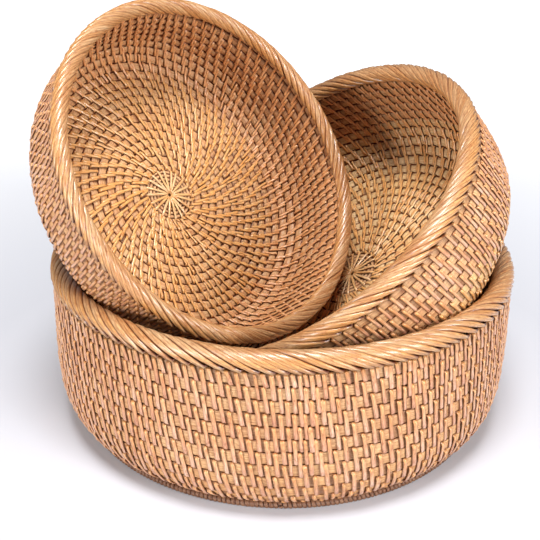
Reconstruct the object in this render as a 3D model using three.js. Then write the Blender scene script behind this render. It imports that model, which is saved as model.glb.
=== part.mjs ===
// A set of three coiled rattan fruit baskets. The large one stands, and the medium and the
// small one lean in it. Millimetres, +Z up; the origin lies on the large basket's axis, on the
// surface that it stands on.
import * as THREE from 'three';

// Driving dimensions of each basket, measured from the surface that it would stand on.
// rimRadius is to the outside of the rim, and rimHeight to the middle of the lashed roll.
// bellyPastRim is how far the belly stands out past the rim, below nought where it stays in.
// bowlRise is the height over which the wall swells out from the foot to the belly, and
// course is the distance up the wall from one turn of the coil to the next.
const LARGE = {
  name: 'large',
  rimRadius: 128,
  rimHeight: 88.8,
  rollRadius: 5.6,
  rimLashing: 1.8,
  bellyPastRim: 0,
  bowlRise: 32,
  course: 7.1,
  wallThickness: 5,
  floorThickness: 5,
  footRadius: 112.5,
  footWidth: 5.4,
  footHeight: 4,
  rosetteRadius: 17,
  segments: 40,
};
const MEDIUM = {
  name: 'medium',
  rimRadius: 110.2,
  rimHeight: 67.4,
  rollRadius: 5,
  rimLashing: 1.6,
  bellyPastRim: -0.6,
  bowlRise: 34,
  course: 6.3,
  wallThickness: 4.4,
  floorThickness: 4.4,
  footRadius: 74,
  footWidth: 5,
  footHeight: 3.5,
  rosetteRadius: 16,
  segments: 32,
};
const SMALL = {
  name: 'small',
  rimRadius: 95.8,
  rimHeight: 52.4,
  rollRadius: 4,
  rimLashing: 1.3,
  bellyPastRim: -4,
  bowlRise: 25,
  course: 5.2,
  wallThickness: 4.2,
  floorThickness: 4.2,
  footRadius: 68,
  footWidth: 5,
  footHeight: 3.5,
  rosetteRadius: 14.5,
  segments: 32,
};

// How the two upper baskets lie: where the middle of the rim is over the large basket, and how
// the opening faces. Tilt is the lean away from straight up, and turn swings that lean about +Z.
const MEDIUM_LEAN = { x: 7.5, y: 3.1, tilt: 37.9, turn: -67.8 };
const SMALL_LEAN = { x: -35.3, y: -14.3, tilt: 55.1, turn: 49.6 };

// The wall's lower curve runs between a round bowl and a square corner.
const CURVE_POWER = 2.6;
const CURVE_ROOT = 1.7;
const CURVE_STEPS = 5;
const UPPER_STEPS = 3;
const FURROW = 1.3; // depth of the wall's furrow between two turns of the coil
const ROWS_PER_COURSE = 2; // a furrow and a crest

const CLEARANCE = 0.3; // between neighbouring pieces of one basket
const REST_GAP = 0.4; // between two baskets that lean on each other
const RIM_SETBACK = 1; // from the rim's outside in to the wall's outer face
const FOOT_LASHING = 1; // thickness of the cane round the foot hoop
const ROSETTE_BOSS = 0.35; // radius of the rosette's boss as a part of its own
const ROSETTE_CROWN = 1.6; // height of the rosette's middle over the floor
const ROSETTE_SHOULDER = 1.3; // height over the floor where its spokes slope down
const LIP_STEPS = 6; // flats round the rim lashing
const HOOP_SIDES = 6;
const SAME_POINT = 1e-6;

// Sampling for the baskets' rest: flats round the roll, longest step along an outline, and
// the number of places round the axis.
const ROLL_STEPS = 18;
const ROLL_SHOWS = { from: -0.7, to: 4.1 }; // radians of the roll that stand clear of the wall
const SAMPLE_STEP = 4;
const SAMPLE_ANGLES = 240;
const REST_TOLERANCE = 0.02;

const CANE = { color: 0xc98a4b, roughness: 0.55 };
const LASHING = { color: 0xdba866, roughness: 0.5 };
const HOOP = { color: 0xb07a42, roughness: 0.7 };

const point = (radius, height) => new THREE.Vector2(radius, height);

// Lengths that follow from a basket's driving dimensions.
const rollCentre = (b) => b.rimRadius - b.rollRadius;
const hoopRadius = (b) => b.rollRadius - b.rimLashing - CLEARANCE;
const wallTop = (b) => b.rimHeight - hoopRadius(b) - CLEARANCE;
const floorBottom = (b) => b.footHeight + CLEARANCE;
const floorTop = (b) => floorBottom(b) + b.floorThickness;
const footInside = (b) => b.footRadius - b.footWidth;
const bossRadius = (b) => b.rosetteRadius * ROSETTE_BOSS;
const bellyRadius = (b) => b.rimRadius + b.bellyPastRim;

// Points of an arc. With tangent set, its flats touch the circle from outside.
function arc(centre, radius, from, to, steps, tangent = false) {
  const step = (to - from) / steps;
  const reach = tangent ? radius / Math.cos(step / 2) : radius;
  return Array.from({ length: steps + 1 }, (_, i) => {
    const angle = from + step * i;
    return point(centre.x + reach * Math.cos(angle), centre.y + reach * Math.sin(angle));
  });
}

// The wall's outer line, from the foot up to the rim.
function wallOutside(b) {
  const line = [];
  const widening = bellyRadius(b) - b.footRadius;
  for (let i = 0; i <= CURVE_STEPS; i += 1) {
    const t = (i / CURVE_STEPS) ** 2;
    const swell = (1 - (1 - t) ** CURVE_POWER) ** (1 / CURVE_ROOT);
    line.push(point(b.footRadius + widening * swell, b.footHeight + b.bowlRise * t));
  }
  const belly = line.at(-1);
  const rim = point(b.rimRadius - RIM_SETBACK, wallTop(b));
  for (let i = 1; i <= UPPER_STEPS; i += 1) {
    const t = i / UPPER_STEPS;
    line.push(point(belly.x + (rim.x - belly.x) * t * t, belly.y + (rim.y - belly.y) * t));
  }
  return line;
}

function wallInside(b) {
  return wallOutside(b).map((p) => point(p.x - b.wallThickness, p.y));
}

// The part of a line below a height, ending on that height.
function below(line, height) {
  const cut = line.findIndex((p) => p.y >= height);
  const low = line[cut - 1];
  const share = (height - low.y) / (line[cut].y - low.y);
  return [...line.slice(0, cut), low.clone().lerp(line[cut], share)];
}

// The point at a distance along a line.
function along(line, distance) {
  let left = distance;
  for (let i = 1; i < line.length; i += 1) {
    const step = line[i].distanceTo(line[i - 1]);
    if (left <= step || i === line.length - 1) return line[i - 1].clone().lerp(line[i], left / step);
    left -= step;
  }
  return line[0];
}

function lengthOf(line) {
  return line.slice(1).reduce((sum, p, i) => sum + p.distanceTo(line[i]), 0);
}

// The wall's section at a share of a turn. The coil climbs one course in each turn, so the
// furrows on both faces climb with the share. They fade out at the wall's foot and top.
function coiledSection(b, share) {
  const line = wallOutside(b);
  const length = lengthOf(line);
  const courses = Math.ceil(length / b.course) + 1;
  const outside = [];
  const inside = [];
  for (let row = 0; row <= courses * ROWS_PER_COURSE; row += 1) {
    const climb = length + b.course * (row / ROWS_PER_COURSE - courses + share);
    const reach = THREE.MathUtils.clamp(climb, 0, length);
    const fade = Math.min(1, reach / b.course, (length - reach) / b.course);
    const depth = row % ROWS_PER_COURSE === 0 ? FURROW * fade : 0;
    const p = along(line, reach);
    outside.push(point(p.x - depth, p.y));
    inside.push(point(p.x - b.wallThickness + depth, p.y));
  }
  return [...outside, ...inside.reverse()];
}

// The coiled floor fills the wall's foot, and the rosette plugs its middle.
function floorOutline(b) {
  const seat = wallInside(b).map((p) => point(p.x - CLEARANCE, p.y + CLEARANCE));
  const edge = below(seat, floorTop(b));
  const bore = bossRadius(b) + CLEARANCE;
  return [point(bore, floorBottom(b)), ...edge, point(bore, floorTop(b))];
}

function rosetteOutline(b) {
  const seat = floorTop(b) + CLEARANCE;
  const boss = bossRadius(b);
  return [
    point(0, floorBottom(b)),
    point(boss, floorBottom(b)),
    point(boss, seat),
    point(b.rosetteRadius, seat),
    point(boss, seat + ROSETTE_SHOULDER),
    point(0, seat + ROSETTE_CROWN),
  ];
}

// The lashing is open below, where it straddles the wall's top.
function rimLashingOutline(b) {
  const centre = point(rollCentre(b), b.rimHeight);
  const inner = b.rollRadius - b.rimLashing;
  const wallFace = b.rimRadius - RIM_SETBACK - b.wallThickness;
  const outerLip = -Math.asin(hoopRadius(b) / b.rollRadius);
  const overhang = Math.max(centre.x - wallFace, 0) + CLEARANCE;
  const innerLip = Math.PI + Math.acos(Math.min(overhang / inner, 1));
  return [
    ...arc(centre, b.rollRadius, outerLip, innerLip, LIP_STEPS),
    ...arc(centre, inner, innerLip, outerLip, LIP_STEPS, true),
  ];
}

function rimHoopOutline(b) {
  const centre = point(rollCentre(b), b.rimHeight);
  return arc(centre, hoopRadius(b), 0, 2 * Math.PI, HOOP_SIDES).slice(0, -1);
}

// The foot's lashing is a trough, open above, and its hoop lies in the trough.
function footLashingOutline(b) {
  const top = b.footHeight - CLEARANCE;
  const outer = b.footRadius;
  const inner = footInside(b);
  return [
    point(outer, 0),
    point(outer, top),
    point(outer - FOOT_LASHING, top),
    point(outer - FOOT_LASHING, FOOT_LASHING),
    point(inner + FOOT_LASHING, FOOT_LASHING),
    point(inner + FOOT_LASHING, top),
    point(inner, top),
    point(inner, 0),
  ];
}

function footHoopOutline(b) {
  const side = FOOT_LASHING + CLEARANCE;
  const top = b.footHeight - CLEARANCE;
  return [
    point(b.footRadius - side, side),
    point(b.footRadius - side, top),
    point(footInside(b) + side, top),
    point(footInside(b) + side, side),
  ];
}

// Turns an outline about the basket's axis. Outlines run anticlockwise.
function turned(outline, segments) {
  return new THREE.LatheGeometry([...outline, outline[0]], segments).rotateX(Math.PI / 2);
}

// The coiled wall, skinned over its sections round the axis. Where a section's rows meet in one
// point, at the foot and the top, the triangle between them is left out.
function coiled(b) {
  const sections = Array.from({ length: b.segments + 1 }, (_, column) => {
    const share = column / b.segments;
    const angle = 2 * Math.PI * share;
    return coiledSection(b, share).map((p) => (
      new THREE.Vector3(p.x * Math.sin(angle), -p.x * Math.cos(angle), p.y)
    ));
  });
  const corners = [];
  const addTriangle = (...triangle) => {
    const apart = triangle.every((p, i) => p.distanceTo(triangle[(i + 1) % 3]) > SAME_POINT);
    if (apart) corners.push(...triangle);
  };
  for (let column = 0; column < b.segments; column += 1) {
    const here = sections[column];
    const next = sections[column + 1];
    here.forEach((low, row) => {
      const above = (row + 1) % here.length;
      addTriangle(low, next[row], next[above]);
      addTriangle(low, next[above], here[above]);
    });
  }
  const geometry = new THREE.BufferGeometry().setFromPoints(corners);
  geometry.computeVertexNormals();
  return geometry;
}

function makeBasket(b) {
  const pieces = [
    ['floor', turned(floorOutline(b), b.segments), CANE],
    ['wall', coiled(b), CANE],
    ['start_rosette', turned(rosetteOutline(b), b.segments), CANE],
    ['rim_hoop', turned(rimHoopOutline(b), b.segments), HOOP],
    ['rim_lashing', turned(rimLashingOutline(b), b.segments), LASHING],
    ['foot_hoop', turned(footHoopOutline(b), b.segments), HOOP],
    ['foot_lashing', turned(footLashingOutline(b), b.segments), LASHING],
  ];
  const basket = new THREE.Group();
  for (const [piece, geometry, look] of pieces) {
    const material = new THREE.MeshStandardMaterial({ metalness: 0, ...look });
    const mesh = new THREE.Mesh(geometry, material);
    mesh.name = `${b.name}_${piece}`;
    basket.add(mesh);
  }
  return basket;
}

// The whole section of a basket as one outline, for finding where it rests.
function envelope(b) {
  const centre = point(rollCentre(b), b.rimHeight);
  const roll = arc(centre, b.rollRadius, ROLL_SHOWS.from, ROLL_SHOWS.to, ROLL_STEPS);
  const inside = wallInside(b).filter((p) => p.y > floorTop(b)).reverse();
  const crown = floorTop(b) + CLEARANCE + ROSETTE_CROWN;
  return [
    point(b.footRadius, 0),
    ...wallOutside(b),
    ...roll,
    ...inside,
    below(wallInside(b), floorTop(b)).at(-1),
    point(b.rosetteRadius, floorTop(b)),
    point(0, crown),
    point(0, floorBottom(b)),
    point(footInside(b), floorBottom(b)),
    point(footInside(b), 0),
  ];
}

// Distance from a point to an outline, below zero inside it.
function distanceTo(outline, radius, height) {
  let nearest = Infinity;
  let inside = false;
  for (let i = 0, j = outline.length - 1; i < outline.length; j = i, i += 1) {
    const a = outline[j];
    const b = outline[i];
    const dx = b.x - a.x;
    const dy = b.y - a.y;
    const along = ((radius - a.x) * dx + (height - a.y) * dy) / (dx * dx + dy * dy);
    const t = Math.min(1, Math.max(0, along));
    nearest = Math.min(nearest, Math.hypot(radius - a.x - dx * t, height - a.y - dy * t));
    if (a.y > height !== b.y > height && radius < a.x + (dx * (height - a.y)) / dy) inside = !inside;
  }
  return inside ? -nearest : nearest;
}

// Points all over a basket's surface, in its own frame.
function surfacePoints(outline) {
  const points = [];
  outline.forEach((p, i) => {
    const next = outline[(i + 1) % outline.length];
    const steps = Math.max(1, Math.ceil(p.distanceTo(next) / SAMPLE_STEP));
    for (let k = 0; k < steps; k += 1) {
      const q = p.clone().lerp(next, k / steps);
      for (let n = 0; n < SAMPLE_ANGLES; n += 1) {
        const angle = (2 * Math.PI * n) / SAMPLE_ANGLES;
        points.push(new THREE.Vector3(q.x * Math.cos(angle), q.x * Math.sin(angle), q.y));
      }
    }
  });
  return points;
}

// The least distance from one basket's points to another basket, if it is less than the limit.
function reachOf(points, matrix, outline, limit) {
  const widest = Math.max(...outline.map((p) => p.x));
  const highest = Math.max(...outline.map((p) => p.y));
  const moved = new THREE.Vector3();
  let least = limit;
  for (const p of points) {
    moved.copy(p).applyMatrix4(matrix);
    const radius = Math.hypot(moved.x, moved.y);
    const clear = Math.max(radius - widest, moved.z - highest, -moved.z);
    if (clear < least) least = Math.min(least, distanceTo(outline, radius, moved.z));
  }
  return least;
}

function gapBetween(one, other) {
  const toOther = other.matrix.clone().invert().multiply(one.matrix);
  const toOne = toOther.clone().invert();
  const first = reachOf(one.points, toOther, other.outline, Infinity);
  return reachOf(other.points, toOne, one.outline, first);
}

// Lowers a leaning basket straight down until it rests on one of the baskets below it.
function rest(b, lean, supports) {
  const outline = envelope(b);
  const basket = { outline, points: surfacePoints(outline), matrix: new THREE.Matrix4() };
  const turn = new THREE.Matrix4().makeRotationZ(THREE.MathUtils.degToRad(lean.turn));
  const tilt = new THREE.Matrix4().makeRotationX(THREE.MathUtils.degToRad(lean.tilt));
  const drop = new THREE.Matrix4().makeTranslation(0, 0, -b.rimHeight);
  let height = LARGE.rimHeight + 2 * (MEDIUM.rimRadius + SMALL.rimRadius);
  let spare = Infinity;
  while (spare > REST_TOLERANCE) {
    basket.matrix.makeTranslation(lean.x, lean.y, height).multiply(turn).multiply(tilt).multiply(drop);
    spare = Math.min(...supports.map((s) => gapBetween(basket, s))) - REST_GAP;
    height -= Math.max(spare, 0);
  }
  return basket;
}

const set = new THREE.Group();
const largeOutline = envelope(LARGE);
const large = { outline: largeOutline, points: surfacePoints(largeOutline), matrix: new THREE.Matrix4() };
const medium = rest(MEDIUM, MEDIUM_LEAN, [large]);
const small = rest(SMALL, SMALL_LEAN, [large, medium]);

for (const [b, place] of [[LARGE, large], [MEDIUM, medium], [SMALL, small]]) {
  const basket = makeBasket(b);
  basket.applyMatrix4(place.matrix);
  set.add(basket);
}

export default set;
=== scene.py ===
# Looks of a set of three coiled rattan fruit baskets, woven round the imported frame. Metres.
# Each basket is one spiral coil of cane, bound turn to turn by a flat strip that runs down
# the outside over two turns, through the wall and up the inside. Many fine strands wind
# slantwise round the rim's hoop, and a flat strip winds round the foot's.
import math

import bpy
import numpy as np
from mathutils import Matrix, Vector


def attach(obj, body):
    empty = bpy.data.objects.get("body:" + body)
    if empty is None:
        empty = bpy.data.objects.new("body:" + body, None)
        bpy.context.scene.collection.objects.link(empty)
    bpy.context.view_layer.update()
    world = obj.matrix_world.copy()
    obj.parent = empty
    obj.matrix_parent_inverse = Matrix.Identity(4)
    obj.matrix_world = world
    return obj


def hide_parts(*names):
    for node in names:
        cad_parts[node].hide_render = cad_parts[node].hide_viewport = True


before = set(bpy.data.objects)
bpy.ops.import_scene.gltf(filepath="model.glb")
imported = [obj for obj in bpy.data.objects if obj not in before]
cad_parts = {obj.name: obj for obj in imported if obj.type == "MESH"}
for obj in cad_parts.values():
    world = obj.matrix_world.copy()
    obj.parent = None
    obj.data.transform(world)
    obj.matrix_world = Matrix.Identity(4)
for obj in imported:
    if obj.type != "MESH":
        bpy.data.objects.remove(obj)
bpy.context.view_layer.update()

MM = 0.001
TURN = 2 * math.pi

# Weave of each basket in millimetres: course is the coil's height, spacing the distance
# between two stitches along it on the floor and at the rim, and strip the width of the cane
# that binds it.
WEAVES = {
    "large": {"course": 7.1, "spacing": (8.8, 7.3), "strip": 2.2},
    "medium": {"course": 6.3, "spacing": (6.6, 6.6), "strip": 1.75},
    "small": {"course": 5.2, "spacing": (6.4, 6.4), "strip": 1.7},
}
PAINTED_LIGHT_BOWLS = ("medium",)  # baskets whose floor and lower wall take paler cane colours: painted light
STRIP_THICKNESS = 0.8 * MM
FIBRE_SHIFT = 900  # millimetres of fibre pattern within which each strip starts anywhere

# Reading the outline of the solids.
SAME_LEVEL = 0.01 * MM  # points no further apart in height belong to one ring
LEAST_LEAN = 0.01  # a basket that leans less stands upright
LINE_STEP = 0.25 * MM  # between two samples of the fabric's middle line
BEND_START = 3 * MM  # from the floor's edge inwards, where that line begins to bend
BEND_END = 1.2 * MM  # above the floor's middle, where it has met the wall
ROUND_CORNER = 3.0 * MM  # how far the bend is rounded
ROUND_REACH = 3  # how many times that far the rounding reaches

# The start rosette.
START_HOLE = 1.1 * MM
START_TURNS = 6  # tight turns of thin cane under the spokes
START_STEPS = 36  # samples along one of them
START_SIDES = 8  # samples round its section
START_TONE = 0.55
SPOKES = 20
SPOKE_WIDTH = 1.5 * MM
SPOKE_LEAST = 0.3 * MM  # its width at the axis
SPOKE_ROOM = 0.75  # of the room between two spokes, how much it widens outwards
SPOKE_PAST = 0.8 * MM  # how far the spokes reach past the tight turns
SPOKE_SKEW = 0.15  # how far a spoke's end is turned aside, in spokes
SPOKE_SHIFT = 0.1  # how far a spoke stands from its place, in spokes
SPOKE_UNEVEN = 0.06  # of its height over the fabric
SPOKE_TONES = (0.3, 1)
SPOKE_GOLD = 0.3
# One face of a spoke: share of the way out, and height over the fabric's middle, where 1 is
# its face.
SPOKE_LINE = np.array([
    (0.0, 0.55),
    (0.1, 1.2),
    (0.25, 1.35),
    (0.45, 1.3),
    (0.65, 1.25),
    (0.85, 1.2),
    (0.96, 0.85),
    (1.0, 0.1),
])

# One stitch, from the top of its course on the outside, down, through and up the inside.
# Each row: height (1 is the top of its own course, 0 the foot of the course below it),
# depth (1 is the fabric's outer face, -1 its inner one), place along the coil in stitch
# spacings, how golden the strip is there, which near its outer top is a painted highlight
# where it comes up over the cane and on the inside is the strip's own gold, and how much
# painted shade it takes where it dives.
STITCH = np.array([
    (0.968, 0.25, 0.000, 0.9, 1.0),
    (0.958, 0.85, 0.003, 1.0, 0.3),
    (0.930, 1.14, 0.012, 1.0, 0.0),
    (0.870, 1.20, 0.032, 0.9, 0.0),
    (0.750, 1.12, 0.068, 0.8, 0.0),
    (0.500, 1.03, 0.135, 0.45, 0.0),
    (0.250, 1.06, 0.203, 0.05, 0.0),
    (0.090, 1.04, 0.246, 0.0, 0.0),
    (0.055, 0.85, 0.256, 0.0, 0.25),
    (0.035, 0.30, 0.270, 0.0, 1.0),
    (0.030, -0.40, 0.300, 0.5, 1.0),
    (0.060, -0.95, 0.330, 0.8, 0.3),
    (0.130, -1.22, 0.370, 0.9, 0.0),
    (0.280, -1.22, 0.450, 0.85, 0.0),
    (0.500, -1.04, 0.580, 0.75, 0.0),
    (0.720, -1.20, 0.700, 0.8, 0.0),
    (0.870, -1.30, 0.770, 0.9, 0.0),
    (0.950, -1.00, 0.810, 0.9, 0.2),
    (0.970, -0.40, 0.850, 0.5, 1.0),
])
OUTER_SAMPLES = 10  # samples of a stitch that lie on the outside
INNER_NARROWING = 0.95
STITCH_TURNS = 2  # turns of the coil that a stitch takes in
STITCH_LEAN = 0.045  # how far its middle strays sideways, in spacings
STITCH_SLACK = 0.012  # how far its foot strays up or down, of its height
STITCH_THINNEST = 0.2  # of the fabric's thickness, where a course runs out
STITCH_UNEVEN = 0.05  # of its depth
STITCH_ROOM = 0.42  # of the room between two stitches, the most that a strip takes
STRIP_UNEVEN = 0.08  # of its width
ROW_STAGGER = 0.47  # how far each course's stitches step along from those below
SPLIT_SPACING = (1.18, 1.5)  # a gap wider than something between these takes two stitches
SPLIT_PLACES = (0.27, 0.75)  # where in the gap those two stand
UNEVEN = 0.02  # of each stitch's place, in spacings
STITCHES_PAST = 1.2  # turns past the coil's end up to which there are stitches
SPREAD_PAST = 1.3  # and up to which they are first set out

# The coil's section round its core: place across the course, depth out (+) or in (-), and
# how much painted shade it takes. Its neck leaves a dark furrow between two courses on each
# face, which the painted shade darkens further.
CANE_SECTION = np.array([
    (1.03, 0.0, 1.0),
    (0.93, 0.40, 1.0),
    (0.87, 0.84, 0.3),
    (0.74, 0.97, 0.0),
    (-0.74, 0.97, 0.0),
    (-0.87, 0.84, 0.3),
    (-0.93, 0.40, 1.0),
    (-1.03, 0.0, 1.0),
    (-0.92, -0.45, 1.0),
    (-0.74, -0.78, 0.1),
    (0.0, -1.0, 0.0),
    (0.74, -0.78, 0.1),
    (0.92, -0.45, 1.0),
])
INNER_FACE = -0.5  # depth beyond which a sample of the section lies on the inner face
CELL_MIDDLE = 0.34  # where the coil shows between two stitches, in spacings
CELL_STEPS = 7
CELL_PAINTED_SHADE = (0.55, 0.85)  # painted shade on the coil beside a stitch, outside and inside
CELL_PAINTED_SHADE_FALL = 1.5  # the higher, the closer to the stitch that painted shade stays
DOME = 0.44  # how much the coil's inner face swells between two stitches
OUTER_DOME = 0.14  # how much its outer face swells there
OUTER_FULL = 0.98  # how far out the outer face stands there
CANE_FILLING = 1.6  # the coil has its full depth from a course's height divided by this
CANE_THINNEST = 0.15  # of that depth, where a course runs out
CANE_UNEVEN = 0.02  # of the depth
CANE_TONE = 0.5
CANE_TONE_SWING = 0.2  # how far the tone goes up and down along the coil
CANE_TONE_RATE = 7.3  # how fast, in radians for each turn
CANE_TONE_UNEVEN = 0.05
CANE_ROW = 20  # millimetres of fibre pattern between two turns of the coil
INNER_PAINTED_SHADE = (0.15, 0.36)  # how much painted shade its inner face takes on the floor, and up the wall
PALE_REACH = 45 * MM  # up the wall, over which the coil gets less golden and its inner face takes more painted shade
OUTER_GOLD = (0.7, 0.0)  # how golden its outer face is on the floor, and up the wall
INNER_GOLD = 0.1
WAVE = 0.05  # how far the stitches pull a course's edge up and down, in courses
WAVE_PHASE = 0.12  # how far before a stitch the edge is highest, in spacings

# A flat strip's section: hidden face first, then its crowned outer face. The third number
# is how much painted shade it takes, most on its hidden face and some at its edges.
STRIP_SECTION = np.array([
    (-0.5, -0.5, 1.0),
    (0.5, -0.5, 1.0),
    (0.47, 0.18, 0.2),
    (0.0, 0.5, 0.0),
    (-0.47, 0.18, 0.2),
])
# A bundle of two fine strands, with a groove between them. Third number: painted shade.
BUNDLE_SECTION = np.array([
    (-0.5, -0.5, 1.0),
    (0.5, -0.5, 1.0),
    (0.5, -0.25, 0.95),
    (0.44, 0.14, 0.25),
    (0.2, 0.46, 0.0),
    (0.02, 0.38, 0.4),
    (-0.14, 0.5, 0.0),
    (-0.4, 0.18, 0.2),
    (-0.5, -0.25, 0.95),
])

# The rim's bundles. Their roll is the angle round the hoop's section: 0 is straight out and
# a quarter turn is the top. A share is counted from a bundle's lower end on the outside.
BUNDLE_THICKNESS = 1.7 * MM
BUNDLE_WIDTH = 1.03  # of the distance between two bundles, where they lie closest
BUNDLE_TAPERS = ((0.16, 0.3), (0.42, 0.2))  # how much narrower its ends get, over what share
BUNDLE_STEPS = 25  # samples along a bundle
BUNDLE_WANDER = 0.04  # how far its middle strays sideways, in bundles
BUNDLE_UNEVEN = 0.03  # of its width
RIM_SLANT = math.radians(27)  # between the rim's strands and the rim
RIM_LOW = math.radians(-47)  # the roll at which a bundle starts on the outside
RIM_HIGH = math.radians(236)  # and the one at which it ends on the inside
RIM_SINK = 0.6 * MM  # how far a bundle's middle lies below the lashing's face
RIM_UNEVEN = 0.1 * MM  # how far some lie higher or lower than others
RIM_DIVE = 2.2 * MM  # how far a bundle's ends dive into the wall
RIM_DIVE_SHARE = 0.05  # of it, over which each end dives
RIM_LIP = 1.0 * MM  # how far the bundles bulge just over the wall
RIM_LIP_ROLL = math.radians(-33)  # where on the roll that bulge is
RIM_LIP_WIDTH = math.radians(15)
RIM_END_CUT = 1.2  # how level a bundle's lower end is cut; 0 is square across it
RIM_CUT_SHARE = 0.1  # over which the cut runs out
# How golden a bundle is, by share from the nearer end.
RIM_GOLD_SHARES = (0, 0.1, 0.16, 0.4)
RIM_GOLD = (0, 0, 0.8, 0)

# The foot's strip.
FOOT_STRIP = 2.3 * MM  # from one turn of it to the next
FOOT_COVER = 0.94  # of that, its width
FOOT_UNEVEN = 0.06  # of its width
FOOT_FLARE = 3.8 * MM  # how far it bulges out past the foot's solid lashing
FOOT_STEPS = 12  # samples of one turn
FOOT_SQUARENESS = 6  # of its way round the hoop; 2 is an ellipse

rng = np.random.default_rng(20)


def unique_points(node):
    """A node's different points, to the micrometre."""
    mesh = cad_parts[node].data
    co = np.zeros(len(mesh.vertices) * 3, np.float32)
    mesh.vertices.foreach_get("co", co)
    return np.unique(co.reshape(-1, 3).astype(float).round(6), axis=0)


def unit(vectors):
    return vectors / np.linalg.norm(vectors, axis=-1, keepdims=True)


class Basket:
    """A basket's own frame and outline, read from its solids."""

    def __init__(self, name):
        self.name = name
        self.body = f"{name}_basket"
        self.weave = WEAVES[name]
        rim = unique_points(f"{name}_rim_hoop")
        foot = unique_points(f"{name}_foot_hoop")
        centre = foot.mean(axis=0)
        self.up = unit(rim.mean(axis=0) - centre)
        lashing = unique_points(f"{name}_foot_lashing")
        base = ((lashing - centre) @ self.up).min()
        self.origin = centre + self.up * base
        level = np.cross((0.0, 0.0, 1.0), self.up)
        lean = np.linalg.norm(level)
        self.side = level / lean if lean > LEAST_LEAN else np.array((1.0, 0.0, 0.0))
        self.front = np.cross(self.side, self.up)
        self.read_outline()

    def section(self, node):
        """A node's points as radius and height about the basket's axis."""
        offset = unique_points(f"{self.name}_{node}") - self.origin
        height = offset @ self.up
        radius = np.hypot(offset @ self.front, offset @ self.side)
        return radius, height

    def read_outline(self):
        radius, height = self.section("wall")
        order = np.argsort(height)
        breaks = np.flatnonzero(np.diff(height[order]) > SAME_LEVEL) + 1
        rings = np.split(radius[order], breaks)
        outer = np.array([ring.max() for ring in rings])
        inner = np.array([ring.min() for ring in rings])
        self.wall_heights = np.array([level.mean() for level in np.split(height[order], breaks)])
        self.wall_middle = (outer + inner) / 2
        self.wall_thickness = (outer - inner).max()
        radius, height = self.section("floor")
        self.floor_middle = (height.min() + height.max()) / 2
        self.floor_radius = radius.max()
        radius, height = self.section("start_rosette")
        self.rosette_radius = radius.max()
        radius, height = self.section("rim_hoop")
        self.rim_radius = radius.mean()
        self.rim_height = height.mean()
        radius, height = self.section("rim_lashing")
        self.roll = np.hypot(radius - self.rim_radius, height - self.rim_height).max()
        radius, height = self.section("foot_lashing")
        self.foot_outer = radius.max()
        self.foot_inner = radius.min()
        self.foot_top = height.max()

    def place(self, radius, height, angle):
        """World points from radius, height and angle about the basket's axis."""
        across = np.cos(angle)[..., None] * self.front + np.sin(angle)[..., None] * self.side
        return self.origin + radius[..., None] * across + height[..., None] * self.up

    def along(self, angle):
        """The direction in which the coil runs at an angle."""
        return -np.sin(angle)[..., None] * self.front + np.cos(angle)[..., None] * self.side


class Fabric:
    """The middle line of a basket's floor and wall, by distance from the axis."""

    def __init__(self, basket):
        self.basket = basket
        keep = basket.wall_heights > basket.floor_middle + BEND_END
        radii = [0.0, basket.floor_radius - BEND_START, *basket.wall_middle[keep]]
        heights = [basket.floor_middle] * 2 + list(basket.wall_heights[keep])
        runs = np.hypot(np.diff(radii), np.diff(heights))
        reach = np.concatenate([[0], np.cumsum(runs)])
        self.length = reach[-1]
        self.s = np.arange(0, self.length, LINE_STEP)
        self.radius = self.smooth(np.interp(self.s, reach, radii))
        self.height = self.smooth(np.interp(self.s, reach, heights))
        out_radius = np.gradient(self.height, self.s)
        out_height = -np.gradient(self.radius, self.s)
        size = np.hypot(out_radius, out_height)
        self.out_radius = out_radius / size
        self.out_height = out_height / size

    @staticmethod
    def smooth(values):
        """Values along the line with its corner rounded; both ends run straight on."""
        reach = int(ROUND_REACH * ROUND_CORNER / LINE_STEP)
        steps = np.arange(-reach, reach + 1) * LINE_STEP
        weights = np.exp(-0.5 * (steps / ROUND_CORNER) ** 2)
        before = 2 * values[0] - values[reach:0:-1]
        after = 2 * values[-1] - values[-2:-reach - 2:-1]
        padded = np.concatenate([before, values, after])
        return np.convolve(padded, weights / weights.sum(), mode="valid")

    def at(self, s, depth, angle):
        """World points at distance s from the axis, depth out from the middle line."""
        radius = np.interp(s, self.s, self.radius) + depth * np.interp(s, self.s, self.out_radius)
        height = np.interp(s, self.s, self.height) + depth * np.interp(s, self.s, self.out_height)
        return self.basket.place(radius, height, angle)

    def radius_at(self, s):
        return np.interp(s, self.s, self.radius)


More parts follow.
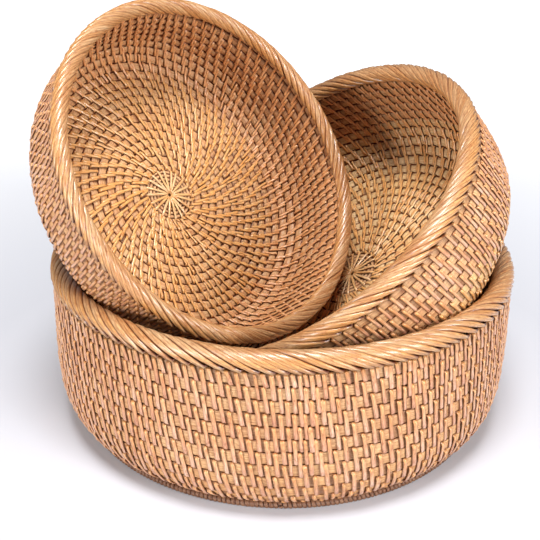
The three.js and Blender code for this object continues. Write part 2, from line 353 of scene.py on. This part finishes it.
class Mesh:
    """Tubes skinned over grids of points, gathered into one mesh."""

    def __init__(self):
        self.points = []
        self.quads = []
        self.caps = []
        self.uvs = []
        self.tones = []
        self.golds_and_highlights = []
        self.painted_shades = []
        self.count = 0

    def add(self, grid, uv, tone, gold_and_highlight, painted_shade):
        """grid: tubes x rings x points round x 3. Its tubes are closed round and capped."""
        tubes, rings, around, _ = grid.shape
        index = np.arange(tubes * rings * around).reshape(tubes, rings, around) + self.count
        left = index[:, :-1]
        right = index[:, 1:]
        quads = np.stack([
            left,
            np.roll(left, -1, axis=2),
            np.roll(right, -1, axis=2),
            right,
        ], axis=-1)
        self.quads.append(quads.reshape(-1, 4))
        self.caps.append(index[:, 0, ::-1].reshape(-1, around))
        self.caps.append(index[:, -1].reshape(-1, around))
        self.points.append(grid.reshape(-1, 3))
        self.uvs.append(np.broadcast_to(uv, grid.shape[:3] + (2,)).reshape(-1, 2))
        self.tones.append(np.broadcast_to(tone, grid.shape[:3]).reshape(-1))
        self.golds_and_highlights.append(np.broadcast_to(gold_and_highlight, grid.shape[:3]).reshape(-1))
        self.painted_shades.append(np.broadcast_to(painted_shade, grid.shape[:3]).reshape(-1))
        self.count += index.size

    def build(self, name):
        points = np.concatenate(self.points)
        uvs = np.concatenate(self.uvs)
        faces = self.quads + self.caps
        corners = np.concatenate([block.ravel() for block in faces]).astype(np.int32)
        sizes = np.concatenate([np.full(len(block), block.shape[1]) for block in faces])
        starts = np.concatenate([[0], np.cumsum(sizes)[:-1]]).astype(np.int32)
        mesh = bpy.data.meshes.new(name)
        mesh.vertices.add(len(points))
        mesh.vertices.foreach_set("co", points.astype(np.float32).ravel())
        mesh.loops.add(len(corners))
        mesh.loops.foreach_set("vertex_index", corners)
        mesh.polygons.add(len(sizes))
        mesh.polygons.foreach_set("loop_start", starts)
        mesh.polygons.foreach_set("use_smooth", np.ones(len(sizes), bool))
        mesh.update(calc_edges=True)
        layer = mesh.uv_layers.new(name="strip")
        layer.data.foreach_set("uv", uvs[corners].astype(np.float32).ravel())
        for key, values in (("tone", self.tones), ("gold_and_highlight", self.golds_and_highlights), ("painted_shade", self.painted_shades)):
            layer = mesh.attributes.new(key, "FLOAT", "POINT")
            layer.data.foreach_set("value", np.concatenate(values).astype(np.float32))
        thing = bpy.data.objects.new(name, mesh)
        bpy.context.scene.collection.objects.link(thing)
        return thing


def strips(path, across, widths, thickness, section=STRIP_SECTION):
    """Rings of a strip along each path; across is roughly the way its width runs."""
    forward = unit(np.gradient(path, axis=1))
    across = unit(across - forward * (across * forward).sum(-1, keepdims=True))
    outward = np.cross(forward, across)
    wide = across[:, :, None] * (section[:, 0, None] * widths[:, :, None, None])
    high = outward[:, :, None] * (section[:, 1, None] * thickness)
    return path[:, :, None] + wide + high


def strip_uv(path, widths, section=STRIP_SECTION):
    """Along and across each strip in millimetres, each starting at its own place."""
    steps = np.linalg.norm(np.diff(path, axis=1), axis=-1)
    run = np.concatenate([np.zeros((len(path), 1)), np.cumsum(steps, axis=1)], axis=1) / MM
    run = run[:, :, None] + rng.uniform(0, FIBRE_SHIFT, (len(path), 1, 1))
    span = section[:, 0] * widths[:, :, None] / MM
    span = span + rng.uniform(0, FIBRE_SHIFT, (len(path), 1, 1))
    return np.stack(np.broadcast_arrays(run, span), axis=-1)


def spread_stitches(turns, gap_at):
    """Places of the stitches along the coil, in turns, each set between two of the turn below."""
    places = list(np.arange(SPOKES) / SPOKES)
    below = 0
    while places[-1] < turns and below + 1 < len(places):
        low = places[below]
        gap = places[below + 1] - low
        below += 1
        limit = rng.uniform(*SPLIT_SPACING)
        if gap_at(1 + low) * gap < limit:
            places.append(1 + low + (ROW_STAGGER + rng.normal(0, UNEVEN)) * gap)
        else:
            places.extend(1 + low + share * gap for share in SPLIT_PLACES)
    return np.array(places)


class Coil:
    """A basket's spiral of courses, from the rosette to the rim."""

    def __init__(self, basket):
        self.basket = basket
        self.weave = basket.weave
        self.fabric = Fabric(basket)
        self.start = basket.rosette_radius
        self.end = self.fabric.length - LINE_STEP
        self.course = self.weave["course"] * MM
        self.turns = (self.end - self.start) / self.course
        places = spread_stitches(self.turns + SPREAD_PAST, self.spacings_at)
        self.places = places[places < self.turns + STITCHES_PAST]
        gaps = np.diff(self.places)
        self.gaps = np.append(gaps, gaps[-1])
        self.order = np.arange(len(self.places))
        self.half = basket.wall_thickness / 2 - STRIP_THICKNESS

    def spacings_at(self, turn):
        """How many stitch spacings the coil's turn is long at a place on it."""
        middle = self.level(turn - 0.5)
        bend = self.basket.floor_radius
        spacings = np.array(self.weave["spacing"]) * MM
        spacing = np.interp(middle, (bend, (bend + self.end) / 2), spacings)
        return TURN * self.fabric.radius_at(middle) / spacing

    def angle(self, turn):
        """The direction of a place on the coil, which ends where the wall's furrows do."""
        return TURN * (turn - self.turns)

    def level(self, turn):
        """Distance from the axis to the outer edge of the course at a place on the coil."""
        return self.start + self.course * np.clip(turn, 0, self.turns)

    def edge(self, turn):
        """The same with the wave in it, which the stitches pull up and down."""
        phase = np.interp(turn, self.places, self.order)
        inside = np.clip(turn, 0, 1) * np.clip(self.turns - turn, 0, 1)
        return self.level(turn) + WAVE * self.course * inside * np.cos(TURN * (phase + WAVE_PHASE))

    def between(self, first, last):
        """The stitches between two places: their places, and the gaps after them."""
        chosen = (self.places >= first) & (self.places < last)
        return self.places[chosen], self.gaps[chosen]


def make_cane(mesh, coil, first, last):
    """The coil itself between two places, swelling where no stitch holds it."""
    places, gaps = coil.between(first, last)
    shares = np.arange(CELL_STEPS) / CELL_STEPS
    turn = (places[:, None] + shares * gaps[:, None]).ravel()
    turn = np.append(turn, places[-1] + gaps[-1])
    bare = 0.5 + 0.5 * np.cos(TURN * (shares - CELL_MIDDLE))
    bare = np.append(np.tile(bare, len(places)), bare[0])[:, None]
    low = coil.edge(turn - 1)
    high = coil.edge(turn)
    tall = high - low
    fullness = np.clip(tall / coil.course * CANE_FILLING, CANE_THINNEST, 1)
    v, face, painted_shade = CANE_SECTION.T
    s = (low + high)[:, None] / 2 + v * tall[:, None] / 2
    outer_swell = OUTER_FULL - OUTER_DOME * (1 - bare)
    inner_swell = 1 - DOME / 2 + DOME * bare
    rough = rng.normal(0, CANE_UNEVEN, (len(turn), 1))
    swell = np.where(face > 0, outer_swell, inner_swell) + rough
    depth = face * coil.half * fullness[:, None] * swell
    angle = np.broadcast_to(coil.angle(turn)[:, None], s.shape)
    grid = coil.fabric.at(s, depth, angle)[None]
    run = np.arange(len(turn)) * coil.weave["spacing"][0] / CELL_STEPS
    across = np.where(face < 0, -2 - v, v) * coil.weave["course"] / 2
    across = across + CANE_ROW * np.floor(turn)[:, None]
    uv = np.stack(np.broadcast_arrays(run[:, None], across), -1)
    tone = CANE_TONE + CANE_TONE_SWING * np.sin(turn * CANE_TONE_RATE)[:, None]
    tone = tone + rng.normal(0, CANE_TONE_UNEVEN, (len(turn), 1))
    # Painted shade on the coil beside each stitch, and on its inner face, more of it up the wall.
    painted_shade = np.maximum(painted_shade, np.where(face > 0, *CELL_PAINTED_SHADE) * (1 - bare) ** CELL_PAINTED_SHADE_FALL)
    bend = coil.basket.floor_radius
    up = (bend, bend + PALE_REACH)
    dark = np.interp(high, up, INNER_PAINTED_SHADE)[:, None]
    painted_shade = np.maximum(painted_shade, np.where(face < INNER_FACE, dark, 0))
    pale = np.interp(high, up, OUTER_GOLD)[:, None]
    gold_and_highlight = np.where(face > 0, pale, INNER_GOLD)
    mesh.add(grid, uv[None], tone[None], gold_and_highlight[None], painted_shade[None])


def make_stitches(mesh, coil, first, last):
    """The strip that binds the coil, one stitch after the other."""
    places, gaps = coil.between(first, last)
    count = len(places)
    places = places[:, None]
    gaps = gaps[:, None]
    height, depth, share, gold_and_highlight, painted_shade = STITCH.T
    lean = rng.normal(0, STITCH_LEAN, (count, 1)) * np.sin(math.pi * np.clip(share, 0, 1))
    turn = places + gaps * (share + lean)
    top = coil.edge(turn)
    foot = coil.edge(turn - STITCH_TURNS)
    slack = rng.normal(0, STITCH_SLACK, (count, 1)) * (1 - height)
    s = foot + (top - foot) * np.clip(height + slack, 0, 1)
    fullness = np.clip((top - foot) / coil.course, STITCH_THINNEST, 1)
    proud = 1 + rng.normal(0, STITCH_UNEVEN, (count, 1))
    deep = (coil.half * fullness + STRIP_THICKNESS / 2) * depth * proud
    angle = coil.angle(turn)
    path = coil.fabric.at(s, deep, angle).reshape(1, -1, 3)
    across = coil.basket.along(angle).reshape(1, -1, 3)
    room = gaps * TURN * coil.fabric.radius_at(s)
    width = np.minimum(coil.weave["strip"] * MM, STITCH_ROOM * room)
    width = width * rng.normal(1, STRIP_UNEVEN, (count, 1))
    width[:, OUTER_SAMPLES:] *= INNER_NARROWING
    width = width.reshape(1, -1)
    grid = strips(path, across, width, STRIP_THICKNESS)
    tone = np.repeat(rng.uniform(0, 1, count), len(STITCH))[None, :, None]
    # Gold along each stitch, a painted highlight at its outer top, then painted shade where it
    # dives, on its hidden face and along its edges.
    gold_and_highlight = np.tile(gold_and_highlight, count)[None, :, None]
    painted_shade = np.maximum(np.tile(painted_shade, count)[None, :, None], STRIP_SECTION[:, 2])
    mesh.add(grid, strip_uv(path, width), tone, gold_and_highlight, painted_shade)


def make_start(mesh, coil):
    """The thin cane's tight turns under the spokes."""
    turn = np.arange(START_TURNS * START_STEPS + 1) / START_STEPS
    pitch = (coil.start - START_HOLE) / START_TURNS
    middle = START_HOLE + pitch * turn
    around = np.arange(START_SIDES) * TURN / START_SIDES
    s = middle[:, None] + 0.5 * pitch * np.cos(around)
    s = np.clip(s, START_HOLE / 2, coil.start)
    depth = coil.half * np.sin(around) * np.ones((len(turn), 1))
    angle = np.broadcast_to(coil.angle(turn - START_TURNS)[:, None], s.shape)
    grid = coil.fabric.at(s, depth, angle)[None]
    run = np.cumsum(middle * TURN / START_STEPS) / MM
    uv = np.stack(np.broadcast_arrays(run[:, None], around * 0.5), -1)
    # Painted shade where each turn meets its neighbours.
    painted_shade = np.clip(0.5 + np.cos(2 * around), 0, 1)
    mesh.add(grid, uv[None], START_TONE, 0.0, painted_shade)


def make_spokes(mesh, coil):
    """Strips from the start's hole out over its tight turns, on both faces."""
    far = coil.start + SPOKE_PAST
    shares, rise = SPOKE_LINE.T
    s = START_HOLE + (far - START_HOLE) * shares
    s = np.concatenate([s, s[-2::-1]])
    depth = np.concatenate([-rise, rise[-2::-1]]) * (coil.half + STRIP_THICKNESS / 3)
    turn = (np.arange(SPOKES)[:, None] + rng.normal(0, SPOKE_SHIFT, (SPOKES, 1))) / SPOKES
    angle = coil.angle(turn)
    skew = SPOKE_SKEW * (s / far) / SPOKES * TURN
    angle = angle + np.where(depth < 0, skew, -skew)
    s = np.broadcast_to(s, angle.shape)
    depth = np.broadcast_to(depth, angle.shape) * rng.normal(1, SPOKE_UNEVEN, (SPOKES, 1))
    path = coil.fabric.at(s, depth, angle)
    across = coil.basket.along(angle)
    room = TURN * s / SPOKES
    width = np.minimum(SPOKE_WIDTH, SPOKE_LEAST + SPOKE_ROOM * room)
    grid = strips(path, across, width, STRIP_THICKNESS)
    tone = rng.uniform(*SPOKE_TONES, SPOKES)[:, None, None]
    mesh.add(grid, strip_uv(path, width), tone, SPOKE_GOLD, STRIP_SECTION[:, 2])


def make_rim(mesh, coil):
    """Bundles of fine strands wound slantwise round the rim, one from each stitch."""
    basket = coil.basket
    begin = coil.angle(coil.places[coil.places > coil.places[-1] - 1])[:, None]
    lobes = len(begin)
    lobe = TURN / lobes
    share = np.linspace(0, 1, BUNDLE_STEPS)
    roll = RIM_LOW + (RIM_HIGH - RIM_LOW) * share
    sweep = (RIM_HIGH - RIM_LOW) * basket.roll / math.tan(RIM_SLANT) / basket.rim_radius
    ends = np.minimum(share, 1 - share)
    wander = rng.normal(0, BUNDLE_WANDER, (lobes, 1)) * np.sin(math.pi * share) * lobe
    angle = begin + wander - sweep * share
    dive = RIM_DIVE * np.clip(1 - ends / RIM_DIVE_SHARE, 0, 1) ** 2
    lip = RIM_LIP * np.exp(-(((roll - RIM_LIP_ROLL) / RIM_LIP_WIDTH) ** 2))
    reach = basket.roll - RIM_SINK + rng.normal(0, RIM_UNEVEN, (lobes, 1)) + lip - dive
    radius = basket.rim_radius + reach * np.cos(roll)
    height = basket.rim_height + reach * np.sin(roll)
    path = basket.place(radius, height, angle)
    across = -basket.along(angle)
    apart = lobe * basket.rim_radius * math.sin(RIM_SLANT)
    close = BUNDLE_WIDTH
    for narrowing, over in BUNDLE_TAPERS:
        close = close - narrowing * np.clip(1 - ends / over, 0, 1)
    width = apart * close * rng.normal(1, BUNDLE_UNEVEN, (lobes, 1))
    grid = strips(path, across, width, BUNDLE_THICKNESS, BUNDLE_SECTION)
    cut = RIM_END_CUT * np.clip(1 - share / RIM_CUT_SHARE, 0, 1) * width
    forward = unit(np.gradient(path, axis=1))[:, :, None]
    grid = grid + forward * (BUNDLE_SECTION[:, 0, None] * cut[:, :, None, None])
    tone = rng.uniform(0, 1, lobes)[:, None, None]
    gold_and_highlight = np.interp(ends, RIM_GOLD_SHARES, RIM_GOLD)[None, :, None]
    mesh.add(grid, strip_uv(path, width, BUNDLE_SECTION), tone, gold_and_highlight, BUNDLE_SECTION[:, 2])


def make_foot(mesh, coil):
    """One flat strip wound round and round the foot's hoop."""
    basket = coil.basket
    outer = basket.foot_outer + FOOT_FLARE
    middle = (outer + basket.foot_inner) / 2
    loops = round(TURN * middle / FOOT_STRIP)
    half_wide = (outer - basket.foot_inner) / 2 - STRIP_THICKNESS / 2
    half_tall = basket.foot_top / 2 - STRIP_THICKNESS / 2
    turn = np.arange(loops * FOOT_STEPS) / FOOT_STEPS
    around = -TURN * turn
    wide = np.abs(np.cos(around)) ** FOOT_SQUARENESS
    tall = np.abs(np.sin(around)) ** FOOT_SQUARENESS
    flat = (wide + tall) ** (-1 / FOOT_SQUARENESS)
    radius = middle + half_wide * np.cos(around) * flat
    height = basket.foot_top / 2 + half_tall * np.sin(around) * flat
    angle = TURN * turn / loops
    path = basket.place(radius, height, angle)[None]
    across = basket.along(angle)[None]
    uneven = np.repeat(rng.normal(1, FOOT_UNEVEN, loops), FOOT_STEPS)[None]
    width = uneven * FOOT_STRIP * FOOT_COVER
    grid = strips(path, across, width, STRIP_THICKNESS)
    tone = np.repeat(rng.uniform(0, 1, loops), FOOT_STEPS)[None, :, None]
    mesh.add(grid, strip_uv(path, width), tone, 0.0, STRIP_SECTION[:, 2])


# Colours are written as they look, each part from 0 to 255.
# The gold is partly the cane's own and partly a painted highlight on the top of each stitch.
GOLD_AND_HIGHLIGHT = (244, 180, 98)
# The dark brown below is painted shade, laid into the furrows between courses, along strip edges,
# beside stitches and where strips dive.
PAINTED_SHADE = (104, 42, 12)
SPOT = (196, 150, 112)
WHITE = (1, 1, 1, 1)  # linear light

SPLIT_STRETCH = (0.09, 1.0, 1.0)  # fibres of a split strip, along and across it
WHOLE_STRETCH = (400.0, 400.0, 400.0)  # pores of whole cane, the same in each direction
# Noise of the fibres, blotches and flecks. How fine the fibres are is said for each cane.
FIBRES = {"Detail": 3.0, "Roughness": 0.6}
BLOTCHES = {"Scale": 42.0, "Detail": 2.0, "Roughness": 0.5}
FLECKS = {"Scale": 420.0, "Detail": 2.0, "Roughness": 0.6}
BLOTCH_WEIGHT = 0.55  # how far the blotches move a strip's colour along its ramp
TONE_WEIGHT = 0.5  # how far its own tone does
TONE_START = -0.03  # where on its ramp the darkest strip starts
GOLD_AND_HIGHLIGHT_WEIGHT = 0.7  # how much of the gold colour the most golden place takes on, painted highlight included
STREAKS = (0.32, 0.6)  # fibre noise over which the shade between fibres fades out
STREAK_WEIGHT = 0.8
SPOTS = (0.3, 0.42)  # fleck noise over which a spot fades out
SPOT_WEIGHT = 0.5
FIBRE_BUMP = {"Strength": 0.45, "Distance": 0.3 * MM}
SPECULAR = 0.5
COAT_ROUGHNESS = 0.24
PLAIN_COAT = 0.15


def linear(colour):
    """Linear light from a colour written as it looks."""
    parts = [c / 255 for c in colour]
    return [c / 12.92 if c <= 0.04045 else ((c + 0.055) / 1.055) ** 2.4 for c in parts] + [1.0]


class Nodes:
    """The emptied node tree of a material or world."""

    def __init__(self, owner):
        owner.use_nodes = True
        self.tree = owner.node_tree
        self.tree.nodes.clear()

    def add(self, kind, **values):
        """A new node. Each value goes to its socket of that name, or else its setting."""
        made = self.tree.nodes.new(kind)
        for key, value in values.items():
            if key in made.inputs:
                made.inputs[key].default_value = value
            else:
                setattr(made, key, value)
        return made

    def link(self, source, target):
        self.tree.links.new(source, target)

    def ramp(self, source, stops):
        """Colours over a value, from a list of each one's place and linear colour."""
        made = self.add("ShaderNodeValToRGB")
        elements = made.color_ramp.elements
        while len(elements) < len(stops):
            elements.new(0.5)
        for element, (position, colour) in zip(elements, stops):
            element.position = position
            element.color = colour
        self.link(source, made.inputs["Fac"])
        return made.outputs["Color"]

    def cover(self, base, amount, colour):
        """A colour laid over base by an amount that varies."""
        made = self.add("ShaderNodeMix", data_type="RGBA")
        made.inputs["B"].default_value = linear(colour)
        self.link(amount, made.inputs["Factor"])
        self.link(base, made.inputs["A"])
        return made.outputs["Result"]

    def multiply(self, base, colour, weight):
        """Base times a colour that varies, by a constant weight."""
        made = self.add("ShaderNodeMix", data_type="RGBA", blend_type="MULTIPLY")
        made.inputs["Factor"].default_value = weight
        self.link(base, made.inputs["A"])
        self.link(colour, made.inputs["B"])
        return made.outputs["Result"]


def rattan(name, colours, shade, gloss, grain, split=True, coat=PLAIN_COAT):
    """Cane with strip tones, fibres, blotches, a soft shine, gold and painted highlight, painted
    shade.
    """
    material = bpy.data.materials.new(name)
    nodes = Nodes(material)
    output = nodes.add("ShaderNodeOutputMaterial")
    surface = nodes.add("ShaderNodeBsdfPrincipled")
    nodes.link(surface.outputs["BSDF"], output.inputs["Surface"])
    tone = nodes.add("ShaderNodeAttribute", attribute_name="tone")
    gold_and_highlight = nodes.add("ShaderNodeAttribute", attribute_name="gold_and_highlight")
    painted_shade = nodes.add("ShaderNodeAttribute", attribute_name="painted_shade")
    place = nodes.add("ShaderNodeTexCoord").outputs["Object"]
    strip = nodes.add("ShaderNodeUVMap", uv_map="strip").outputs["UV"]
    stretch = nodes.add("ShaderNodeMapping", Scale=SPLIT_STRETCH if split else WHOLE_STRETCH)
    nodes.link(strip if split else place, stretch.inputs["Vector"])
    fibres = nodes.add("ShaderNodeTexNoise", Scale=grain, **FIBRES)
    nodes.link(stretch.outputs["Vector"], fibres.inputs["Vector"])
    blotches = nodes.add("ShaderNodeTexNoise", **BLOTCHES)
    nodes.link(place, blotches.inputs["Vector"])
    flecks = nodes.add("ShaderNodeTexNoise", **FLECKS)
    nodes.link(place, flecks.inputs["Vector"])

    spread = nodes.add("ShaderNodeMath", operation="MULTIPLY_ADD")
    spread.inputs[1].default_value = TONE_WEIGHT
    spread.inputs[2].default_value = TONE_START
    nodes.link(tone.outputs["Fac"], spread.inputs[0])
    mixed = nodes.add("ShaderNodeMath", operation="MULTIPLY_ADD")
    mixed.inputs[1].default_value = BLOTCH_WEIGHT
    nodes.link(blotches.outputs["Fac"], mixed.inputs[0])
    nodes.link(spread.outputs["Value"], mixed.inputs[2])
    last = len(colours) - 1
    stops = [(i / last, linear(colour)) for i, colour in enumerate(colours)]
    colour = nodes.ramp(mixed.outputs["Value"], stops)
    # Gold laid over the colour: partly the cane's own, partly a painted highlight on each stitch's
    # top.
    gold_and_highlight_amount = nodes.add("ShaderNodeMath", operation="MULTIPLY")
    gold_and_highlight_amount.inputs[1].default_value = GOLD_AND_HIGHLIGHT_WEIGHT
    nodes.link(gold_and_highlight.outputs["Fac"], gold_and_highlight_amount.inputs[0])
    colour = nodes.cover(colour, gold_and_highlight_amount.outputs["Value"], GOLD_AND_HIGHLIGHT)
    stops = [(STREAKS[0], linear(shade)), (STREAKS[1], WHITE)]
    streaks = nodes.ramp(fibres.outputs["Fac"], stops)
    colour = nodes.multiply(colour, streaks, STREAK_WEIGHT)
    stops = [(SPOTS[0], linear(SPOT)), (SPOTS[1], WHITE)]
    spots = nodes.ramp(flecks.outputs["Fac"], stops)
    colour = nodes.multiply(colour, spots, SPOT_WEIGHT)
    # Painted shade laid over the colour, as dark as each point's painted shade value says.
    colour = nodes.cover(colour, painted_shade.outputs["Fac"], PAINTED_SHADE)
    nodes.link(colour, surface.inputs["Base Color"])

    rough = nodes.add("ShaderNodeMapRange", **{"To Min": gloss[0], "To Max": gloss[1]})
    nodes.link(fibres.outputs["Fac"], rough.inputs["Value"])
    nodes.link(rough.outputs["Result"], surface.inputs["Roughness"])
    bump = nodes.add("ShaderNodeBump", **FIBRE_BUMP)
    nodes.link(fibres.outputs["Fac"], bump.inputs["Height"])
    nodes.link(bump.outputs["Normal"], surface.inputs["Normal"])
    surface.inputs["Specular IOR Level"].default_value = SPECULAR
    surface.inputs["Coat Weight"].default_value = coat
    surface.inputs["Coat Roughness"].default_value = COAT_ROUGHNESS
    return material


# Each cane: its colours from dark to pale, the shade between its fibres, its least and most
# roughness and how fine its fibres are.
STITCH_CANE = rattan(
    "stitch_cane",
    [(206, 142, 104), (226, 168, 130), (238, 186, 150), (246, 204, 172), (252, 220, 190)],
    (196, 142, 110), (0.28, 0.46), 2.4, coat=0.6,
)
COIL_CANE = rattan(
    "coil_cane",
    [(206, 148, 100), (226, 174, 122), (238, 194, 142), (246, 210, 162)],
    (196, 150, 114), (0.5, 0.7), 1.6,
)
RIM_CANE = rattan(
    "rim_cane",
    [(188, 132, 77), (206, 153, 99), (218, 175, 125), (231, 198, 153)],
    (188, 130, 82), (0.3, 0.45), 2.8, coat=0.9,
)
# Pale stitch cane: the floors' and spokes' own paler strips, and on the medium basket's floor and
# lower wall also painted light.
PALE_AND_PAINTED_LIGHT_STITCH_CANE = rattan(
    "pale_and_painted_light_stitch_cane",
    [(234, 176, 112), (246, 196, 132), (252, 214, 158), (255, 232, 194)],
    (206, 150, 96), (0.26, 0.42), 2.4, coat=0.9,
)
# Pale coil cane: painted light, the medium basket's floor and lower wall drawn paler where light
# falls into the bowl.
PAINTED_LIGHT_COIL_CANE = rattan(
    "painted_light_coil_cane",
    [(240, 196, 130), (249, 212, 152), (253, 224, 174), (255, 234, 194)],
    (206, 158, 108), (0.5, 0.7), 1.6,
)
FOOT_CANE = rattan(
    "foot_cane",
    [(126, 88, 62), (154, 112, 82), (176, 136, 104)],
    (160, 116, 90), (0.4, 0.6), 2.4,
)
WHOLE_CANE = rattan(
    "whole_cane",
    [(96, 58, 30), (128, 80, 44), (150, 100, 60)],
    (150, 110, 80), (0.6, 0.85), 2.0, split=False,
)


def weave_basket(name):
    """All pieces of one basket. The wall is woven in two halves, each under the piece limit."""
    basket = Basket(name)
    coil = Coil(basket)
    floor_turns = (basket.floor_radius - coil.start) / coil.course
    last = coil.places[-1]
    middle = (floor_turns + last) / 2
    floor = (0, floor_turns)
    low_wall = (floor_turns, middle)
    high_wall = (middle, last)
    # The medium basket's floor and lower wall take paler cane: painted light.
    pale = name in PAINTED_LIGHT_BOWLS
    low_coil = PAINTED_LIGHT_COIL_CANE if pale else COIL_CANE
    low_stitches = PALE_AND_PAINTED_LIGHT_STITCH_CANE if pale else STITCH_CANE
    jobs = [
        ("floor_coil", "floor", "cane", low_coil, make_cane, floor),
        ("floor_stitches", "floor", "cane", PALE_AND_PAINTED_LIGHT_STITCH_CANE, make_stitches, floor),
        ("low_wall_coil", "wall", "cane", low_coil, make_cane, low_wall),
        ("low_wall_stitches", "wall", "cane", low_stitches, make_stitches, low_wall),
        ("high_wall_coil", "wall", "cane", COIL_CANE, make_cane, high_wall),
        ("high_wall_stitches", "wall", "cane", STITCH_CANE, make_stitches, high_wall),
        ("start_coil", "start_rosette", "cane", COIL_CANE, make_start, ()),
        ("start_spokes", "start_rosette", "cane", PALE_AND_PAINTED_LIGHT_STITCH_CANE, make_spokes, ()),
        ("rim_strands", "rim_lashing", "lashing", RIM_CANE, make_rim, ()),
        ("foot_strip", "foot_lashing", "lashing", FOOT_CANE, make_foot, ()),
    ]
    for piece, node, slot, material, make, ends in jobs:
        mesh = Mesh()
        make(mesh, coil, *ends)
        thing = mesh.build(f"{name}_{piece}")
        thing.data.materials.append(material)
        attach(thing, basket.body)
        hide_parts(f"{name}_{node}")
    for hoop in ("rim_hoop", "foot_hoop"):
        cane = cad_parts[f"{name}_{hoop}"].data
        cane.materials.clear()
        cane.materials.append(WHOLE_CANE)


# The camera stands at the photograph's place.
CAMERA_TILT = math.radians(25.45)
CAMERA_ROLL = math.radians(0.71)
CAMERA_AT = Vector((-0.0067, -0.4966, 0.3128))
CAMERA_LENS = 64.2
CAMERA_SENSOR = 36
CAMERA_NEAR = 0.01

# Each lamp: its place, the size of its disk and its power in watts.
LAMPS = {
    "key": ((-0.02, -0.36, 1.3), 0.45, 16.8),
    "right": ((0.95, -0.85, 0.5), 0.5, 14.0),
    "left": ((-0.9, -0.9, 0.35), 0.5, 10.5),
}
LAMP_AIM = Vector((0, 0, 0.08))
LAMP_COLOUR = (0.97, 0.985, 1.0)

FLOOR_SIZE = 6.0
FLOOR_COLOUR = (0.6, 0.6, 0.64, 1)
# For the camera alone the floor glows, the more the further from the baskets, so that it runs
# out into the white background and keeps their shadow.
FLOOR_GLOW = {"From Min": 0.2, "From Max": 0.8, "To Min": 0.08, "To Max": 0.9}
WORLD_COLOUR = (0.94, 0.96, 1.0, 1)
WORLD_STRENGTH = 0.2


def make_camera():
    forward = Vector((0, math.cos(CAMERA_TILT), -math.sin(CAMERA_TILT)))
    right = Vector((1, 0, 0))
    up = right.cross(forward)
    turned_right = math.cos(CAMERA_ROLL) * right + math.sin(CAMERA_ROLL) * up
    turned_up = -math.sin(CAMERA_ROLL) * right + math.cos(CAMERA_ROLL) * up
    data = bpy.data.cameras.new("camera")
    data.lens = CAMERA_LENS
    data.sensor_width = CAMERA_SENSOR
    data.clip_start = CAMERA_NEAR
    camera = bpy.data.objects.new("camera", data)
    bpy.context.scene.collection.objects.link(camera)
    turn = Matrix((turned_right, turned_up, -forward)).transposed()
    camera.matrix_world = Matrix.Translation(CAMERA_AT) @ turn.to_4x4()
    bpy.context.scene.camera = camera


def make_lamp(name, place, size, power):
    data = bpy.data.lights.new(name, "AREA")
    data.shape = "DISK"
    data.size = size
    data.energy = power
    data.color = LAMP_COLOUR
    lamp = bpy.data.objects.new(name, data)
    bpy.context.scene.collection.objects.link(lamp)
    lamp.location = place
    lamp.rotation_euler = (LAMP_AIM - Vector(place)).to_track_quat("-Z", "Y").to_euler()


def make_floor():
    size = FLOOR_SIZE
    mesh = bpy.data.meshes.new("floor")
    corners = [(-size, -size, 0), (size, -size, 0), (size, size, 0), (-size, size, 0)]
    mesh.from_pydata(corners, [], [(0, 1, 2, 3)])
    floor = bpy.data.objects.new("floor", mesh)
    bpy.context.scene.collection.objects.link(floor)
    material = bpy.data.materials.new("pale_floor")
    nodes = Nodes(material)
    output = nodes.add("ShaderNodeOutputMaterial")
    matt = nodes.add("ShaderNodeBsdfDiffuse", Color=FLOOR_COLOUR)
    glow = nodes.add("ShaderNodeEmission", Color=WHITE)
    path = nodes.add("ShaderNodeLightPath")
    place = nodes.add("ShaderNodeTexCoord")
    away = nodes.add("ShaderNodeVectorMath", operation="LENGTH")
    bright = nodes.add("ShaderNodeMapRange", **FLOOR_GLOW)
    amount = nodes.add("ShaderNodeMath", operation="MULTIPLY")
    both = nodes.add("ShaderNodeAddShader")
    nodes.link(place.outputs["Object"], away.inputs[0])
    nodes.link(away.outputs["Value"], bright.inputs["Value"])
    nodes.link(path.outputs["Is Camera Ray"], amount.inputs[0])
    nodes.link(bright.outputs["Result"], amount.inputs[1])
    nodes.link(amount.outputs["Value"], glow.inputs["Strength"])
    nodes.link(matt.outputs["BSDF"], both.inputs[0])
    nodes.link(glow.outputs["Emission"], both.inputs[1])
    nodes.link(both.outputs["Shader"], output.inputs["Surface"])
    mesh.materials.append(material)


def make_world():
    """A soft light all round, which the camera sees as white."""
    world = bpy.data.worlds.new("studio")
    bpy.context.scene.world = world
    nodes = Nodes(world)
    output = nodes.add("ShaderNodeOutputWorld")
    soft = nodes.add("ShaderNodeBackground", Color=WORLD_COLOUR, Strength=WORLD_STRENGTH)
    white = nodes.add("ShaderNodeBackground", Color=WHITE, Strength=1.0)
    path = nodes.add("ShaderNodeLightPath")
    pick = nodes.add("ShaderNodeMixShader")
    nodes.link(path.outputs["Is Camera Ray"], pick.inputs["Fac"])
    nodes.link(soft.outputs["Background"], pick.inputs[1])
    nodes.link(white.outputs["Background"], pick.inputs[2])
    nodes.link(pick.outputs["Shader"], output.inputs["Surface"])


for basket_name in WEAVES:
    weave_basket(basket_name)
make_camera()
for lamp_name, settings in LAMPS.items():
    make_lamp(lamp_name, *settings)
make_floor()
make_world()

bpy.context.scene.view_settings.view_transform = "Standard"
